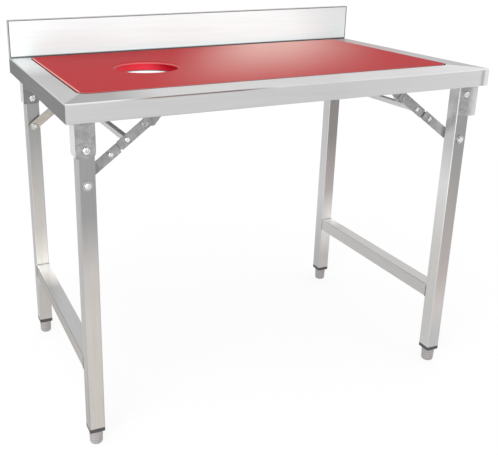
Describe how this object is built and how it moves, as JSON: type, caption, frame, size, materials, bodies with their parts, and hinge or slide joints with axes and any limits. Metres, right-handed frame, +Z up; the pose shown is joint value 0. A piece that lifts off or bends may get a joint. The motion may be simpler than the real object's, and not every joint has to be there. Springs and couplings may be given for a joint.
{
  "type": "folding butcher table",
  "caption": "Steel work table with a rear splashback, a recessed red cutting board with a round drop hole, and two folding leg frames held by jointed braces.",
  "frame": {"origin": "centre of the table's footprint, at floor level", "axes": "+X to the table's right as seen from the front, +Y to the rear, where the splashback is, +Z up"},
  "size_m": [1, 0.6, 0.874],
  "materials": {
    "brushed_steel": "stainless sheet, brushed along each rim",
    "tube_steel": "stainless square tube, brushed along its length",
    "galvanised_sheet": "galvanised sheet, mottled and dull",
    "bright_fasteners": "bright plated steel",
    "red_board": "red cutting plastic, satin",
    "black_plug": "black moulded plastic",
    "grey_foot": "grey moulded plastic"
  },
  "bodies": {
    "table": {"front_rim": "brushed_steel", "rear_rim": "brushed_steel", "left_rim": "brushed_steel", "right_rim": "brushed_steel", "tray_pan": "brushed_steel", "splashback": "brushed_steel", "front_stiffener": "galvanised_sheet", "rear_stiffener": "galvanised_sheet", "front_left_bracket": "galvanised_sheet", "rear_left_bracket": "galvanised_sheet", "front_right_bracket": "galvanised_sheet", "rear_right_bracket": "galvanised_sheet", "front_left_pivot_bolt": "bright_fasteners", "rear_left_pivot_bolt": "bright_fasteners", "front_right_pivot_bolt": "bright_fasteners", "rear_right_pivot_bolt": "bright_fasteners", "front_left_brace_anchor": "galvanised_sheet", "rear_left_brace_anchor": "galvanised_sheet", "front_right_brace_anchor": "galvanised_sheet", "rear_right_brace_anchor": "galvanised_sheet"},
    "board": {"cutting_board": "red_board"},
    "left_leg_frame": {"front_left_leg": "tube_steel", "rear_left_leg": "tube_steel", "left_crossbar": "tube_steel", "front_left_leg_plug": "black_plug", "rear_left_leg_plug": "black_plug", "front_left_brace_bolt": "bright_fasteners", "rear_left_brace_bolt": "bright_fasteners"},
    "left_lower_links": {"front_left_lower_link": "galvanised_sheet", "rear_left_lower_link": "galvanised_sheet"},
    "left_knee": {"left_knee_bar": "galvanised_sheet", "front_left_lower_knee_rivet": "bright_fasteners", "rear_left_lower_knee_rivet": "bright_fasteners", "front_left_upper_knee_rivet": "bright_fasteners", "rear_left_upper_knee_rivet": "bright_fasteners"},
    "left_upper_links": {"front_left_upper_link": "galvanised_sheet", "rear_left_upper_link": "galvanised_sheet"},
    "front_left_foot": {"front_left_foot": "grey_foot"},
    "rear_left_foot": {"rear_left_foot": "grey_foot"},
    "right_leg_frame": {"front_right_leg": "tube_steel", "rear_right_leg": "tube_steel", "right_crossbar": "tube_steel", "front_right_leg_plug": "black_plug", "rear_right_leg_plug": "black_plug", "front_right_brace_bolt": "bright_fasteners", "rear_right_brace_bolt": "bright_fasteners"},
    "right_lower_links": {"front_right_lower_link": "galvanised_sheet", "rear_right_lower_link": "galvanised_sheet"},
    "right_knee": {"right_knee_bar": "galvanised_sheet", "front_right_lower_knee_rivet": "bright_fasteners", "rear_right_lower_knee_rivet": "bright_fasteners", "front_right_upper_knee_rivet": "bright_fasteners", "rear_right_upper_knee_rivet": "bright_fasteners"},
    "right_upper_links": {"front_right_upper_link": "galvanised_sheet", "rear_right_upper_link": "galvanised_sheet"},
    "front_right_foot": {"front_right_foot": "grey_foot"},
    "rear_right_foot": {"rear_right_foot": "grey_foot"}
  },
  "joints": [
    {"name": "board_lift", "type": "slide", "parent": "table", "child": "board", "axis": [0, 0, 1], "range_m": [0, 0.15]},
    {"name": "left_fold", "type": "hinge", "parent": "table", "child": "left_leg_frame", "pos_m": [-0.458, 0, 0.682], "axis": [0, -1, 0], "range_deg": [0, 90]},
    {"name": "left_lower_link", "type": "hinge", "parent": "left_leg_frame", "child": "left_lower_links", "pos_m": [-0.458, 0, 0.61], "axis": [0, -1, 0], "range_deg": [-128, 0]},
    {"name": "left_knee", "type": "hinge", "parent": "left_lower_links", "child": "left_knee", "pos_m": [-0.39699, 0, 0.65531], "axis": [0, -1, 0], "range_deg": [0, 41]},
    {"name": "left_upper_link", "type": "hinge", "parent": "left_knee", "child": "left_upper_links", "pos_m": [-0.36006, 0, 0.68274], "axis": [0, -1, 0], "range_deg": [0, 139]},
    {"name": "front_left_foot", "type": "slide", "parent": "left_leg_frame", "child": "front_left_foot", "axis": [0, 0, -1], "range_m": [0, 0.02]},
    {"name": "rear_left_foot", "type": "slide", "parent": "left_leg_frame", "child": "rear_left_foot", "axis": [0, 0, -1], "range_m": [0, 0.02]},
    {"name": "right_fold", "type": "hinge", "parent": "table", "child": "right_leg_frame", "pos_m": [0.458, 0, 0.719], "axis": [0, 1, 0], "range_deg": [0, 90]},
    {"name": "right_lower_link", "type": "hinge", "parent": "right_leg_frame", "child": "right_lower_links", "pos_m": [0.458, 0, 0.61], "axis": [0, 1, 0], "range_deg": [-162, 0]},
    {"name": "right_knee", "type": "hinge", "parent": "right_lower_links", "child": "right_knee", "pos_m": [0.39699, 0, 0.65531], "axis": [0, 1, 0], "range_deg": [0, 111]},
    {"name": "right_upper_link", "type": "hinge", "parent": "right_knee", "child": "right_upper_links", "pos_m": [0.36006, 0, 0.68274], "axis": [0, 1, 0], "range_deg": [0, 116]},
    {"name": "front_right_foot", "type": "slide", "parent": "right_leg_frame", "child": "front_right_foot", "axis": [0, 0, -1], "range_m": [0, 0.02]},
    {"name": "rear_right_foot", "type": "slide", "parent": "right_leg_frame", "child": "rear_right_foot", "axis": [0, 0, -1], "range_m": [0, 0.02]}
  ],
  "couplings": [
    {"joint": "left_lower_link", "follows": "left_fold", "ratio": -1.4195},
    {"joint": "left_knee", "follows": "left_fold", "ratio": 0.45369},
    {"joint": "left_upper_link", "follows": "left_fold", "ratio": 1.5436},
    {"joint": "right_lower_link", "follows": "right_fold", "ratio": -1.7979},
    {"joint": "right_knee", "follows": "right_fold", "ratio": 1.2304},
    {"joint": "right_upper_link", "follows": "right_fold", "ratio": 1.2786}
  ]
}
